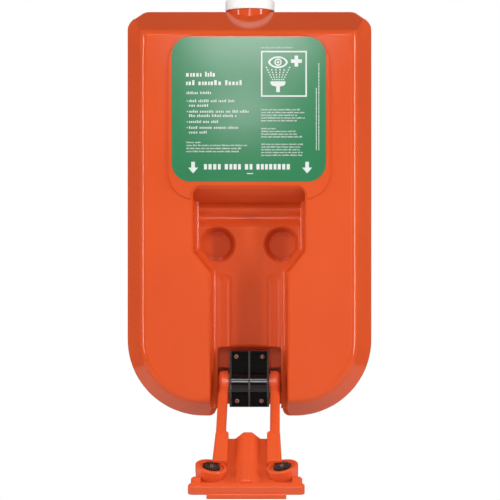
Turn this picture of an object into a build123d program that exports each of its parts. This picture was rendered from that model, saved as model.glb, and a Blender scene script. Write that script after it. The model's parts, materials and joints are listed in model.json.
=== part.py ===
from build123d import *
import math
import os

os.makedirs("parts", exist_ok=True)

# Gravity-fed eyewash station: an orange water tank hung on a steel wall bracket, with a swing-down
# spray arm.
# Frame in mm: the wall is y = 0, the front faces -Y, +Z is up, and the origin is the centre of the
# bracket's bolt holes.

# ---- how far cutting tools run past a face, and how closely an edge's place is matched ----
OVERRUN = 10.0
NEAR = 0.1

# ---- tank, heights above the datum TANK_BOTTOM ----
TANK_BOTTOM = -440.0
TANK_FOOT = 4.0
TANK_W = 400.0
TANK_H = 670.0
BACK_Y = -5.0
FRONT_Y = -195.0
BEVEL_Y = -145.0
BEVEL_ANGLE = 28.8
WALL = 4.5
SHOULDER_WALL = 5.4
BOTTOM_R = 125.0
TOP_CHAMFER = 25.0
TOP_CORNER_R = 20.0
SHOULDER_FRONT_Z = 628.0
SHOULDER_BACK_Y = -121.5
BACK_FILLET = 16.0
BEVEL_FILLET = 12.0
FRONT_FILLET = 14.0

# ---- filler neck and cap ----
NECK_Y = -100.0
NECK_R = 37.5
NECK_BORE_R = 31.0
NECK_H = 14.0
NECK_ROOT = 15.0
CAP_R = 40.8
CAP_BORE_R = 37.9
CAP_RIM_GAP = 3.5
CAP_TOP_T = 4.2
CAP_TOP_R = 1.6
CAP_EDGE_R = 0.8
CAP_BOSS_R = 10.8
CAP_BOSS_H = 2.2
CAP_VENT_R = 1.5
CAP_VENT_COUNT = 4
CAP_GASKET_T = 2.0
VENT_FILTER_R = 6.0
VENT_FILTER_T = 1.6

# ---- label and its raised pad ----
LABEL_W = 248.5
LABEL_H = 233.0
LABEL_Z = 502.3
LABEL_R = 30.0
LABEL_T = 0.4
PAD_W = 263.0
PAD_BOTTOM = 355.0
PAD_TOP = 623.0
PAD_R = 45.0
PAD_T = 3.0
PAD_ANGLE = 35.0
PAD_SINK = 1.0

# ---- arm recess in the front of the tank ----
FLOOR_Y = -143.0
WIDE_HALF = 90.5
NARROW_HALF = 62.5
RECESS_TOP = 376.5
RECESS_TOOL_DEPTH = 40.0
CEILING_RUN = 80.0
SLANT_TOP = 273.7
SLANT_BOTTOM = 239.0
RECESS_R = 13.0
RECESS_DRAFT = 2.0
FLOOR_FILLET = 9.0
ROUND_STEPS = (22.5, 45.0, 67.5)
RIM_ROUND = 4.0
LEG_R = 12.0
CEILING_BACK_Z = 353.0
CEILING_BACK_Y = -140.0
TROUGH_HALF = 84.0
TROUGH_R = 15.0
TROUGH_Y = -149.0
TROUGH_Z = 328.0
TROUGH_FOOT_Z = 312.0
TROUGH_LEAN = 0.25
TROUGH_DEEP_Y = -134.5
TROUGH_DEEP_Z = 331.0
ROLL_Z = 344.7
GRIP_R = 7.0
GRIP_Z = 352.5
GRIP_Y = -143.0
GRIP_DEEP_Y = -136.5
GRIP_FRONT_Y = -148.0
POCKET_X = 53.5
POCKET_Z = 285.0
POCKET_R = 29.0
POCKET_DEPTH = 22.0
POCKET_ANGLE = 18.8
POCKET_ROUND = 3.0
SCOOP_X = 41.0
SCOOP_HALF = 13.0
SCOOP_DEPTH = 1.8
SCOOP_TOP = 225.0
WINDOW_HALF = 54.5
WINDOW_TOP = 115.0
WINDOW_R = 11.0
WINDOW_ROUND = 7.0
WINDOW_Y = -124.0
DEEP_TOP = 82.0
DEEP_Y = -108.0
NOTCH_TOP = 20.0

# ---- valve seat on the tank ----
PIVOT_Y = -150.0
PIVOT_Z = 58.0
SADDLE_HALF = 32.5
SADDLE_UP = 53.0
SADDLE_DOWN = 38.0
BARREL_R = 15.5
RUNNING_GAP = 0.05
PORT_R = 7.0
SEAL_R = 11.0
SEAL_BACK_Y = -130.0
INSERT_R = 3.4
INSERT_L = 11.0
SCREW_RELIEF = 5.5
SCREW_X = 21.5
SCREW_LOW_X = 20.0
SCREW_UP = 44.0
SCREW_DOWN = 28.6
SCREW_R = 2.0
SCREW_L = 16.0
SCREW_HOLE_R = 2.4
SCREW_HEAD_R = 3.7
SCREW_HEAD_H = 2.6
SCREW_DOME_R = 1.56
DRIVE_W = 1.2
DRIVE_DEPTH = 1.4

# ---- pivot clamp ----
CLAMP_HALF = 32.0
CLAMP_T = 8.0
CLAMP_R = 19.5
CLAMP_CORNER_R = 2.0
RIB_W = 3.0
RIB_LOW = 5.0
RIB_OUT = 2.5
RIB_FLAT = 9.0
RIB_RISE = 2.0
RIB_EDGE_R = 1.3

# ---- wall bracket and the tank's hanging lip, heights from the bolt centre ----
PLATE_W = 220.0
PLATE_H = 120.0
PLATE_T = 3.0
PLATE_R = 10.0
BOLT_DX = 160.0
BOLT_DZ = 80.0
BOLT_R = 4.25
TONGUE_W = 200.0
TONGUE_H = 24.0
SHELF_OUT = 21.0
BACK_POCKET_W = 232.0
BACK_POCKET_BOTTOM = -68.0
BACK_POCKET_DEPTH = 24.0
HANG_GAP = 0.5
SLOT_TOP = 90.0
FOOT_X = 130.0
FOOT_Z = 150.0
FOOT_R = 16.0
FOOT_END_Y = -0.5

# ---- swing arm, u runs from the pivot to the tip and w towards the spray side ----
ARM_DOWN = 30.0
HUB_R = 20.0
HUB_FILLET = 6.0
BAR_IN = 34.5
BAR_OUT = 50.0
BAR_HALF_T = 8.0
BAR_END = 150.0
BAR_FILLET = 6.0
ARM_STEP = 1.5
SHANK_IN = 30.0
SHANK_OUT = 50.5
SHANK_SPREAD = 3.0
SHANK_START = 143.0
SHANK_TOP = 4.0
SHANK_END = 215.0
SHANK_FILLET = 5.0
HEEL_Y = 41.7
HEEL_Z = 18.0
SEAM_U = 140.0
SEAM_RUN = 12.0
SEAM_W = -8.5
ARM_BACK = -12.0
ARM_REACH = 60.0
WEB_START = 143.0
WEB_HALF = 36.0
WEB_TOP = -7.0
RIDGE_HALF = 5.5
RIDGE_FOOT = 19.5
RIDGE_TOP = 6.5
TIP_START = 247.0
TIP_FRONT = 265.0
TIP_END = 275.0
TIP_HALF = 87.5
TIP_PLATE_HALF = 84.0
TIP_PLATE_TOP = -0.8
TIP_EAR = 69.0
TIP_LAP = 1.0
TIP_TOP = 1.0
TIP_BOTTOM = -17.0
TIP_CHAMFER = 6.0
TIP_EDGE = 3.6
TIP_FILLET = 1.2
TIP_FRONT_CHAMFER = 4.0
RIDGE_FILLET = 2.0
RIDGE_FOOT_FILLET = 4.0
LIP_HALF = 60.0
LIP_START = 262.0
LIP_END = 277.5
LIP_TOP = -11.0
LIP_BOTTOM = -21.0
LIP_ROOT = -14.0
LIP_R = 2.0
BARREL_END = 40.0
BARREL_BORE_R = 10.5
CHAMBER_END = 48.0
RING_X = 27.0
RING_R = 1.1
RING_GROOVE = 1.43
CHANNEL_IN = 40.0
CHANNEL_TOP = 3.0
CHANNEL_BOTTOM = -5.0
CHANNEL_END = 214.0
CHANNEL_FLOOR_START = 100.0

# ---- spray heads, n runs along each nozzle's axis ----
NOZZLE_X = 54.0
NOZZLE_U = 229.0
NOZZLE_W = 1.5
NOZZLE_BACK = 14.0
NOZZLE_IN = 11.0
POD_R = 24.0
POD_TOP = 4.0
POD_ROOT = 29.0
POD_LIP_R = 1.8
SEAT_R = 19.5
SEAT_DEPTH = 2.6
HEAD_R = 13.6
HEAD_BORE_R = 13.8
HEAD_INFLOW_R = 12.8
HEAD_DEPTH = 7.4
HEAD_FLOOR = 1.6
HEAD_CUP_R = 11.4
HEAD_POST_R = 3.2
HEAD_INLET_R = 1.8
HEAD_INLET_COUNT = 6
HEAD_INLET_PCD_R = 7.2
HEAD_RING_R = 0.6
HEAD_RING_GROOVE = 0.72
HEAD_RING_N = -2.6
PLATE_DISC_R = 13.75
PLATE_DISC_T = 2.4
SCALLOP_R = 1.5
SCALLOP_COUNT = 10
SPRAY_HOLE_R = 0.8
SPRAY_HOLE_PCD_R = 8.6
FLOW_DISC_T = 2.0
FLOW_HOLE_R = 0.9
FLOW_HOLE_COUNT = 3
FLOW_HOLE_TURN = 30.0
SCREEN_T = 0.6
SCREEN_HOLE_R = 0.7
SCREEN_GAP = 1.0
SCREEN_INNER_PCD_R = 5.2
SCREEN_INNER_COUNT = 10
SCREEN_OUTER_PCD_R = 7.7
SCREEN_OUTER_COUNT = 14
DISC_BORE_R = 3.4
DISC_R = 11.2
HEAD_SCREW_R = 1.4
HEAD_SCREW_L = 5.0
HEAD_SCREW_CAP_R = 2.8
HEAD_SCREW_CAP_H = 1.4

HALF_W = TANK_W / 2
SHOULDER_SLOPE = (TANK_H - SHOULDER_FRONT_Z) / (SHOULDER_BACK_Y - FRONT_Y)
CEILING_SLOPE = (CEILING_BACK_Z - RECESS_TOP) / (CEILING_BACK_Y - FRONT_Y)
GRIP_FRONT_Z = RECESS_TOP + (GRIP_FRONT_Y - FRONT_Y) * CEILING_SLOPE
HEAD_DISC_N = POD_TOP - SEAT_DEPTH - HEAD_DEPTH + HEAD_FLOOR
PIVOT = (0, PIVOT_Y, TANK_BOTTOM + PIVOT_Z)
FACING = (0, -1, 0)

# ---- working planes ----
FRONT = Plane(origin=(0, FRONT_Y, TANK_BOTTOM), x_dir=(1, 0, 0), z_dir=FACING)
BEVEL = Plane(origin=(0, BEVEL_Y, TANK_BOTTOM), x_dir=(1, 0, 0), z_dir=FACING)
FLOOR = Plane(origin=(0, FLOOR_Y, TANK_BOTTOM), x_dir=(1, 0, 0), z_dir=FACING)
SEAT = Plane(origin=PIVOT, x_dir=(1, 0, 0), z_dir=FACING)
WALL_FACE = Plane(origin=(0, 0, 0), x_dir=(1, 0, 0), z_dir=FACING)
SIDE = Plane(origin=(0, 0, TANK_BOTTOM), x_dir=(0, 1, 0), z_dir=(1, 0, 0))
PIVOT_SIDE = Plane(origin=PIVOT, x_dir=(0, 1, 0), z_dir=(1, 0, 0))
BRACKET_SIDE = Plane.YZ
ROOF = Plane.XY.offset(TANK_BOTTOM + TANK_H)
arm_u = (0, -math.cos(math.radians(ARM_DOWN)), -math.sin(math.radians(ARM_DOWN)))
arm_w = (0, -math.sin(math.radians(ARM_DOWN)), math.cos(math.radians(ARM_DOWN)))
ARM = Plane(origin=PIVOT, x_dir=(-1, 0, 0), z_dir=arm_w)
ARM_SIDE = Plane(origin=PIVOT, x_dir=arm_u, z_dir=(-1, 0, 0))
ARM_ACROSS = Plane(origin=PIVOT, x_dir=(1, 0, 0), z_dir=arm_u)
ALONG_U = Axis(PIVOT, arm_u)
UP_W = Axis(PIVOT, arm_w)

# ---- bar channels in the recess floor: round-bottomed, fading out at their tops ----
scoop_r = (SCOOP_HALF**2 + SCOOP_DEPTH**2) / (2 * SCOOP_DEPTH)
scoop_tools = []
for grow in (0.0, WALL):
    with BuildPart() as scoop:
        with Locations(
            (SCOOP_X, FLOOR_Y + SCOOP_DEPTH - scoop_r, TANK_BOTTOM + SCOOP_TOP),
            (-SCOOP_X, FLOOR_Y + SCOOP_DEPTH - scoop_r, TANK_BOTTOM + SCOOP_TOP),
        ):
            Sphere(scoop_r + grow)
            Cylinder(scoop_r + grow, SCOOP_TOP + OVERRUN, align=(Align.CENTER, Align.CENTER, Align.MAX))
        split(bisect_by=FLOOR, keep=Keep.BOTTOM)
    scoop_tools.append(scoop.part)

# ---- recess tools: the first is cut from the tank, the second is larger by the wall and shapes its inside ----
recess_tools = []
for grow, scoop_tool in zip((0.0, WALL), scoop_tools):
    with BuildPart() as tool:
        with BuildSketch(FRONT) as opening:
            with BuildLine():
                Polyline(
                    (-WIDE_HALF - grow, RECESS_TOP + grow),
                    (WIDE_HALF + grow, RECESS_TOP + grow),
                    (WIDE_HALF + grow, SLANT_TOP),
                    (NARROW_HALF + grow, SLANT_BOTTOM),
                    (NARROW_HALF + grow, -OVERRUN),
                    (-NARROW_HALF - grow, -OVERRUN),
                    (-NARROW_HALF - grow, SLANT_BOTTOM),
                    (-WIDE_HALF - grow, SLANT_TOP),
                    close=True,
                )
            make_face()
            fillet(opening.vertices().sort_by(Axis.Y)[-2:], RECESS_R)
        extrude(amount=-(FLOOR_Y - FRONT_Y + grow), taper=RECESS_DRAFT)
        floor_edges = tool.edges().filter_by_position(Axis.Y, FLOOR_Y + grow - NEAR, FLOOR_Y + grow + NEAR)
        fillet(floor_edges.sort_by(Axis.Z)[1:], FLOOR_FILLET)
        if grow:
            with BuildSketch(SIDE):
                with Locations((TROUGH_Y, TROUGH_Z)):
                    Circle(TROUGH_R + grow)
                with Locations((GRIP_Y, GRIP_Z)):
                    Circle(GRIP_R + grow)
            extrude(amount=TROUGH_HALF + grow, both=True)
        else:
            with BuildSketch(SIDE):
                with BuildLine():
                    Spline(
                        (FLOOR_Y, TROUGH_FOOT_Z),
                        (TROUGH_DEEP_Y, TROUGH_DEEP_Z),
                        (FLOOR_Y, ROLL_Z),
                        (GRIP_DEEP_Y, GRIP_Z),
                        (GRIP_FRONT_Y, GRIP_FRONT_Z),
                        tangents=((TROUGH_LEAN, 1), (-1, -CEILING_SLOPE)),
                    )
                    Polyline(
                        (GRIP_FRONT_Y, GRIP_FRONT_Z),
                        (GRIP_FRONT_Y, TROUGH_FOOT_Z),
                        (FLOOR_Y, TROUGH_FOOT_Z),
                    )
                make_face()
            extrude(amount=TROUGH_HALF, both=True)
        with BuildSketch(SIDE):
            with BuildLine():
                Polyline(
                    (FRONT_Y - OVERRUN, RECESS_TOP + grow - OVERRUN * CEILING_SLOPE),
                    (FRONT_Y + CEILING_RUN, RECESS_TOP + grow + CEILING_RUN * CEILING_SLOPE),
                    (FRONT_Y + CEILING_RUN, RECESS_TOP + RECESS_TOOL_DEPTH),
                    (FRONT_Y - OVERRUN, RECESS_TOP + RECESS_TOOL_DEPTH),
                    close=True,
                )
            make_face()
        extrude(amount=WIDE_HALF + 2 * WALL, both=True, mode=Mode.SUBTRACT)
        for step in ROUND_STEPS:
            step_out = RIM_ROUND * (1 - math.tan(math.radians(45 - step / 2)))
            with BuildSketch(FRONT) as rim:
                add(opening.sketch_local)
                offset(amount=step_out)
            extrude(amount=-step_out / math.tan(math.radians(step)), taper=step)
        extrude(rim.sketch, amount=2 * PAD_T)
        with BuildSketch(FLOOR):
            with Locations((POCKET_X, POCKET_Z), (-POCKET_X, POCKET_Z)):
                Circle(POCKET_R + grow)
        extrude(amount=-(POCKET_DEPTH + grow), taper=POCKET_ANGLE)
        add(scoop_tool)
        with BuildSketch(FLOOR) as window:
            with BuildLine():
                Polyline(
                    (-WINDOW_HALF - grow, -OVERRUN),
                    (WINDOW_HALF + grow, -OVERRUN),
                    (WINDOW_HALF + grow, WINDOW_TOP + grow),
                    (-WINDOW_HALF - grow, WINDOW_TOP + grow),
                    close=True,
                )
            make_face()
            fillet(window.vertices().sort_by(Axis.Y)[-2:], WINDOW_R)
        extrude(amount=-(WINDOW_Y - FLOOR_Y + grow))
        for step in ROUND_STEPS:
            step_out = 1 - math.tan(math.radians(45 - step / 2))
            with BuildSketch(FLOOR):
                with Locations((POCKET_X, POCKET_Z), (-POCKET_X, POCKET_Z)):
                    Circle(POCKET_R + POCKET_ROUND * step_out)
            extrude(amount=-POCKET_ROUND * step_out / math.tan(math.radians(step)), taper=step)
            with BuildSketch(FLOOR):
                add(window.sketch_local)
                offset(amount=WINDOW_ROUND * step_out)
            extrude(amount=-WINDOW_ROUND * step_out / math.tan(math.radians(step)), taper=step)
        with BuildSketch(FLOOR):
            for side in (1, -1):
                with Locations((side * (WINDOW_HALF + SADDLE_HALF) / 2, (DEEP_TOP - OVERRUN) / 2)):
                    Rectangle(WINDOW_HALF - SADDLE_HALF + 2 * grow, DEEP_TOP + OVERRUN + 2 * grow)
        extrude(amount=-(DEEP_Y - FLOOR_Y + grow))
        with BuildSketch(FLOOR):
            with Locations((0, (NOTCH_TOP + grow - OVERRUN) / 2)):
                Rectangle(2 * (WINDOW_HALF + grow), NOTCH_TOP + grow + OVERRUN)
        extrude(amount=FLOOR_Y - OVERRUN)
        for half, near, far in ((NARROW_HALF, FRONT_Y - OVERRUN, FLOOR_Y), (WINDOW_HALF, FLOOR_Y, OVERRUN)):
            for side in (1, -1):
                with BuildSketch(Plane(origin=(0, near, TANK_BOTTOM), x_dir=(1, 0, 0), z_dir=FACING)):
                    with BuildLine():
                        Polyline(
                            (side * (half + grow), TANK_FOOT + LEG_R),
                            (side * (half + grow - LEG_R), TANK_FOOT + LEG_R),
                            (side * (half + grow - LEG_R), -OVERRUN),
                            (side * (half + grow + LEG_R), -OVERRUN),
                            (side * (half + grow + LEG_R), TANK_FOOT),
                        )
                        RadiusArc(
                            (side * (half + grow + LEG_R), TANK_FOOT),
                            (side * (half + grow), TANK_FOOT + LEG_R),
                            side * LEG_R,
                        )
                    make_face()
                extrude(amount=near - far)
        with BuildSketch(SIDE):
            with BuildLine():
                Polyline(
                    (OVERRUN, -TANK_BOTTOM + BACK_POCKET_BOTTOM - grow),
                    (BACK_Y - BACK_POCKET_DEPTH - grow, -TANK_BOTTOM + BACK_POCKET_BOTTOM - grow),
                    (BACK_Y - BACK_POCKET_DEPTH - grow, -TANK_BOTTOM + SLOT_TOP + grow),
                    (-SHELF_OUT + PLATE_T + HANG_GAP, -TANK_BOTTOM + SLOT_TOP + grow),
                    (-SHELF_OUT + PLATE_T + HANG_GAP, -TANK_BOTTOM + PLATE_H / 2 + HANG_GAP),
                    (OVERRUN, -TANK_BOTTOM + PLATE_H / 2 + HANG_GAP),
                    close=True,
                )
            make_face()
        extrude(amount=BACK_POCKET_W / 2 + grow, both=True)
    recess_tools.append(tool.part)

# ---- tank shell ----
with BuildPart() as tank_shell:
    with BuildSketch(BEVEL) as outline:
        with BuildLine():
            Polyline(
                (-HALF_W, TANK_FOOT),
                (HALF_W, TANK_FOOT),
                (HALF_W, TANK_H - TOP_CHAMFER),
                (HALF_W - TOP_CHAMFER, TANK_H),
                (-HALF_W + TOP_CHAMFER, TANK_H),
                (-HALF_W, TANK_H - TOP_CHAMFER),
                close=True,
            )
        make_face()
        fillet(outline.vertices().sort_by(Axis.Y)[:2], BOTTOM_R)
        fillet(outline.vertices().sort_by(Axis.Y)[-4:], TOP_CORNER_R)
    extrude(amount=BEVEL_Y - FRONT_Y, taper=BEVEL_ANGLE)
    extrude(outline.sketch, amount=BEVEL_Y - BACK_Y)
    with BuildSketch(SIDE):
        with BuildLine():
            Polyline(
                (FRONT_Y - OVERRUN, SHOULDER_FRONT_Z - OVERRUN * SHOULDER_SLOPE),
                (SHOULDER_BACK_Y, TANK_H),
                (SHOULDER_BACK_Y, TANK_H + OVERRUN),
                (FRONT_Y - OVERRUN, TANK_H + OVERRUN),
                close=True,
            )
        make_face()
    extrude(amount=HALF_W + OVERRUN, both=True, mode=Mode.SUBTRACT)
    shoulder_edge = tank_shell.edges().filter_by(Axis.X).group_by(Axis.Z)[-1].sort_by(Axis.Y)[:1]
    bevel_edges = tank_shell.edges().filter_by_position(Axis.Y, BEVEL_Y - NEAR, BEVEL_Y + NEAR)
    fillet(shoulder_edge + bevel_edges, BEVEL_FILLET)
    fillet(tank_shell.edges().filter_by_position(Axis.Y, FRONT_Y - NEAR, FRONT_Y + NEAR), FRONT_FILLET)
    fillet(tank_shell.edges().filter_by_position(Axis.Y, BACK_Y - NEAR, BACK_Y + NEAR), BACK_FILLET)
    with BuildSketch(FRONT.offset(-PAD_SINK)):
        with Locations((0, (PAD_BOTTOM + PAD_TOP) / 2)):
            RectangleRounded(PAD_W, PAD_TOP - PAD_BOTTOM, PAD_R)
    extrude(amount=PAD_T + PAD_SINK, taper=PAD_ANGLE)
    with BuildSketch(ROOF.offset(-NECK_ROOT)):
        with Locations((0, NECK_Y)):
            Circle(NECK_R)
    extrude(amount=NECK_ROOT + NECK_H)
    with BuildSketch(Plane(origin=(0, BACK_Y, TANK_BOTTOM), x_dir=(1, 0, 0), z_dir=FACING)):
        with Locations((FOOT_X, FOOT_Z), (-FOOT_X, FOOT_Z)):
            Circle(FOOT_R)
    extrude(amount=BACK_Y - FOOT_END_Y)
    add(recess_tools[0], mode=Mode.SUBTRACT)

# ---- water space inside the tank ----
with BuildPart() as inside:
    with BuildSketch(BEVEL) as inner_outline:
        with BuildLine():
            Polyline(
                (-HALF_W + WALL, TANK_FOOT + WALL),
                (HALF_W - WALL, TANK_FOOT + WALL),
                (HALF_W - WALL, TANK_H - TOP_CHAMFER - WALL / 2),
                (HALF_W - TOP_CHAMFER - WALL / 2, TANK_H - WALL),
                (-HALF_W + TOP_CHAMFER + WALL / 2, TANK_H - WALL),
                (-HALF_W + WALL, TANK_H - TOP_CHAMFER - WALL / 2),
                close=True,
            )
        make_face()
        fillet(inner_outline.vertices().sort_by(Axis.Y)[:2], BOTTOM_R - WALL)
        fillet(inner_outline.vertices().sort_by(Axis.Y)[-4:], TOP_CORNER_R - WALL)
    extrude(amount=BEVEL_Y - FRONT_Y - WALL, taper=BEVEL_ANGLE)
    extrude(inner_outline.sketch, amount=BEVEL_Y - BACK_Y + WALL)
    with BuildSketch(SIDE):
        with BuildLine():
            Polyline(
                (FRONT_Y - OVERRUN, SHOULDER_FRONT_Z - OVERRUN * SHOULDER_SLOPE - SHOULDER_WALL),
                (SHOULDER_BACK_Y, TANK_H - SHOULDER_WALL),
                (SHOULDER_BACK_Y, TANK_H + OVERRUN),
                (FRONT_Y - OVERRUN, TANK_H + OVERRUN),
                close=True,
            )
        make_face()
    extrude(amount=HALF_W + OVERRUN, both=True, mode=Mode.SUBTRACT)
    front_edges = inside.edges().filter_by_position(Axis.Y, FRONT_Y + WALL - NEAR, FRONT_Y + WALL + NEAR)
    fillet(front_edges, FRONT_FILLET - WALL)
    back_edges = inside.edges().filter_by_position(Axis.Y, BACK_Y - WALL - NEAR, BACK_Y - WALL + NEAR)
    fillet(back_edges, BACK_FILLET - WALL)
    add(recess_tools[1], mode=Mode.SUBTRACT)
    with BuildSketch(ROOF.offset(-NECK_ROOT)):
        with Locations((0, NECK_Y)):
            Circle(NECK_R)
    extrude(amount=NECK_ROOT, mode=Mode.SUBTRACT)
    with BuildSketch(ROOF.offset(-2 * NECK_ROOT)):
        with Locations((0, NECK_Y)):
            Circle(NECK_BORE_R)
    extrude(amount=2 * NECK_ROOT + NECK_H)

screw_points = [
    (SCREW_X, SCREW_UP),
    (-SCREW_X, SCREW_UP),
    (SCREW_LOW_X, -SCREW_DOWN),
    (-SCREW_LOW_X, -SCREW_DOWN),
]

# ---- hollow the tank, then add the valve seat, its port and the pockets for the inserts ----
with BuildPart() as tank:
    add(tank_shell)
    add(inside, mode=Mode.SUBTRACT)
    with BuildSketch(SEAT):
        with Locations((0, (SADDLE_UP - SADDLE_DOWN) / 2)):
            Rectangle(2 * SADDLE_HALF, SADDLE_UP + SADDLE_DOWN)
    extrude(amount=PIVOT_Y - WINDOW_Y - WALL / 2)
    with BuildSketch(PIVOT_SIDE):
        Circle(BARREL_R + RUNNING_GAP)
    extrude(amount=SADDLE_HALF, both=True, mode=Mode.SUBTRACT)
    with BuildSketch(SEAT):
        Circle(SEAL_R)
    extrude(amount=PIVOT_Y - SEAL_BACK_Y, mode=Mode.SUBTRACT)
    with BuildSketch(SEAT):
        Circle(PORT_R)
    extrude(amount=PIVOT_Y - WINDOW_Y - 3 * WALL, mode=Mode.SUBTRACT)
    with BuildSketch(SEAT):
        with Locations(*screw_points):
            Circle(INSERT_R)
    extrude(amount=-INSERT_L - SCREW_RELIEF, mode=Mode.SUBTRACT)
tank.part.label = "tank_shell"
export_step(tank.part, "parts/tank_shell.step")

# ---- label ----
with BuildPart() as label_panel:
    with BuildSketch(FRONT.offset(PAD_T)):
        with Locations((0, LABEL_Z)):
            RectangleRounded(LABEL_W, LABEL_H, LABEL_R)
    extrude(amount=LABEL_T)
label_panel.part.label = "label_panel"
export_step(label_panel.part, "parts/label_panel.step")

# ---- filler cap, gasket and vent filter ----
with BuildPart() as filler_cap:
    with BuildSketch(ROOF.offset(CAP_RIM_GAP)):
        with Locations((0, NECK_Y)):
            Circle(CAP_R)
    extrude(amount=NECK_H + CAP_GASKET_T + CAP_TOP_T - CAP_RIM_GAP)
    fillet(filler_cap.faces().sort_by(Axis.Z)[-1].edges(), CAP_TOP_R)
    fillet(filler_cap.faces().sort_by(Axis.Z)[0].edges(), CAP_EDGE_R)
    with BuildSketch(ROOF.offset(NECK_H + CAP_GASKET_T + CAP_TOP_T)):
        with Locations((0, NECK_Y)):
            Circle(CAP_BOSS_R)
    extrude(amount=CAP_BOSS_H)
    fillet(filler_cap.faces().sort_by(Axis.Z)[-1].edges(), CAP_EDGE_R)
    with BuildSketch(ROOF.offset(CAP_RIM_GAP)):
        with Locations((0, NECK_Y)):
            Circle(CAP_BORE_R)
    extrude(amount=NECK_H + CAP_GASKET_T - CAP_RIM_GAP, mode=Mode.SUBTRACT)
    with BuildSketch(ROOF.offset(NECK_H + CAP_GASKET_T)):
        with Locations((0, NECK_Y)):
            Circle(VENT_FILTER_R)
    extrude(amount=VENT_FILTER_T, mode=Mode.SUBTRACT)
    with BuildSketch(ROOF.offset(NECK_H)):
        with Locations((0, NECK_Y)):
            with PolarLocations(VENT_FILTER_R / 2, CAP_VENT_COUNT):
                Circle(CAP_VENT_R)
    extrude(amount=CAP_GASKET_T + CAP_TOP_T + CAP_BOSS_H + OVERRUN, mode=Mode.SUBTRACT)
filler_cap.part.label = "filler_cap"
export_step(filler_cap.part, "parts/filler_cap.step")

with BuildPart() as cap_gasket:
    with BuildSketch(ROOF.offset(NECK_H)):
        with Locations((0, NECK_Y)):
            Circle(NECK_R)
            Circle(NECK_BORE_R, mode=Mode.SUBTRACT)
    extrude(amount=CAP_GASKET_T)
cap_gasket.part.label = "cap_gasket"
export_step(cap_gasket.part, "parts/cap_gasket.step")

with BuildPart() as vent_filter:
    with BuildSketch(ROOF.offset(NECK_H + CAP_GASKET_T)):
        with Locations((0, NECK_Y)):
            Circle(VENT_FILTER_R)
    extrude(amount=VENT_FILTER_T)
vent_filter.part.label = "vent_filter"
export_step(vent_filter.part, "parts/vent_filter.step")

# ---- wall bracket: plate, shelf and upturned tongue ----
with BuildPart() as wall_bracket:
    with BuildSketch(WALL_FACE):
        RectangleRounded(PLATE_W, PLATE_H, PLATE_R)
    extrude(amount=PLATE_T)
    with BuildSketch(BRACKET_SIDE):
        with BuildLine():
            Polyline(
                (0, PLATE_H / 2),
                (0, PLATE_H / 2 - PLATE_T),
                (-SHELF_OUT, PLATE_H / 2 - PLATE_T),
                (-SHELF_OUT, PLATE_H / 2 + TONGUE_H),
                (-SHELF_OUT + PLATE_T, PLATE_H / 2 + TONGUE_H),
                (-SHELF_OUT + PLATE_T, PLATE_H / 2),
                close=True,
            )
        make_face()
    extrude(amount=TONGUE_W / 2, both=True)
    fold_edges = wall_bracket.edges().filter_by(Axis.X).filter_by_position(Axis.Y, -SHELF_OUT - NEAR, -SHELF_OUT + NEAR)
    fillet(fold_edges.sort_by(Axis.Z)[:1], PLATE_T)
    fillet(
        wall_bracket.edges()
        .filter_by(Axis.X)
        .filter_by_position(Axis.Y, -PLATE_T - NEAR, -PLATE_T + NEAR)
        .filter_by_position(Axis.Z, PLATE_H / 2 - PLATE_T - NEAR, PLATE_H / 2 - PLATE_T + NEAR),
        PLATE_T / 2,
    )
    chamfer(
        wall_bracket.edges()
        .filter_by(Axis.Y)
        .filter_by_position(Axis.Z, PLATE_H / 2 + TONGUE_H - NEAR, PLATE_H / 2 + TONGUE_H + NEAR),
        PLATE_R,
    )
    with BuildSketch(WALL_FACE):
        with GridLocations(BOLT_DX, BOLT_DZ, 2, 2):
            Circle(BOLT_R)
    extrude(amount=PLATE_T, mode=Mode.SUBTRACT)
wall_bracket.part.label = "wall_bracket"
export_step(wall_bracket.part, "parts/wall_bracket.step")

# ---- port seal: a rubber ring whose front follows the barrel ----
with BuildPart() as port_seal:
    with BuildSketch(SEAT):
        Circle(SEAL_R)
        Circle(PORT_R, mode=Mode.SUBTRACT)
    extrude(amount=PIVOT_Y - SEAL_BACK_Y)
    with BuildSketch(PIVOT_SIDE):
        Circle(BARREL_R + RUNNING_GAP)
    extrude(amount=SADDLE_HALF, both=True, mode=Mode.SUBTRACT)
port_seal.part.label = "port_seal"
export_step(port_seal.part, "parts/port_seal.step")

# ---- pivot clamp with its four screws and inserts ----
with BuildPart() as ribs:
    with BuildSketch(PIVOT_SIDE):
        with BuildLine():
            Polyline(
                (0, -SADDLE_DOWN),
                (-CLAMP_T - RIB_LOW, -SADDLE_DOWN),
                (-CLAMP_T - RIB_LOW, -CLAMP_R - RIB_RISE),
                (-CLAMP_R - RIB_OUT, -RIB_FLAT),
                (-CLAMP_R - RIB_OUT, RIB_FLAT),
                (-CLAMP_T - RIB_LOW, CLAMP_R + RIB_RISE),
                (-CLAMP_T - RIB_LOW, SADDLE_UP),
                (0, SADDLE_UP),
                close=True,
            )
        make_face()
    extrude(amount=CLAMP_HALF, both=True)
    for cell in (-1, 1):
        with BuildSketch(Plane.YZ.offset(cell * (CLAMP_HALF - RIB_W / 2) / 2)):
            with Locations((PIVOT_Y, TANK_BOTTOM + PIVOT_Z + (SADDLE_UP - SADDLE_DOWN) / 2)):
                Rectangle(4 * CLAMP_R, SADDLE_UP + SADDLE_DOWN - 2 * RIB_W)
        extrude(amount=(CLAMP_HALF - 1.5 * RIB_W) / 2, both=True, mode=Mode.SUBTRACT)
    fillet(ribs.edges().filter_by(Axis.Z).group_by(Axis.Y)[0], RIB_EDGE_R)

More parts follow.
